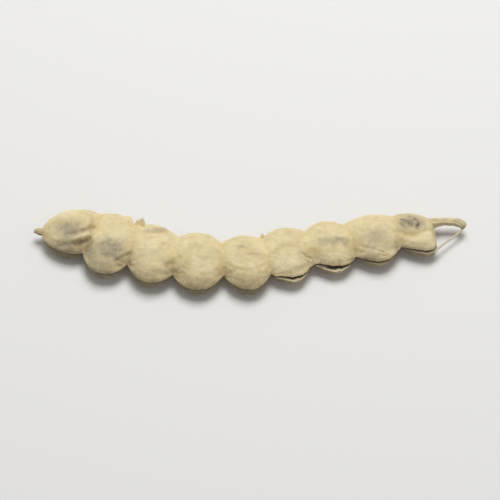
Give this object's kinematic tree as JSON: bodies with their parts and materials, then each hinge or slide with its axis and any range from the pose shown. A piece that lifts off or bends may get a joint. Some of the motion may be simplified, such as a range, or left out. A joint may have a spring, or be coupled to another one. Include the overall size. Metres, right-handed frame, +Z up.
{
  "type": "babul pod",
  "caption": "Dry, felted seed pod pinched like a necklace into round chambers, gently bent, with a split near seam, a curled stalk and a torn seam fibre.",
  "frame": {"origin": "under the middle of the whole object's box, on the surface that the pod lies on", "axes": "+X along the pod from the beak to the stalk, +Y to the hollow side of its bend (the far seam), +Z up through the flat of the pod"},
  "size_m": [0.1104, 0.0241, 0.0068],
  "materials": {
    "pod_skin": "matte, short felted down on dry husk",
    "stalk_bark": "matte, dry and ribbed",
    "seam_fibre": "matte, dry fibre"
  },
  "bodies": {
    "root": {"pod": "pod_skin", "stalk": "stalk_bark", "seam_fibre": "seam_fibre"}
  },
  "joints": []
}
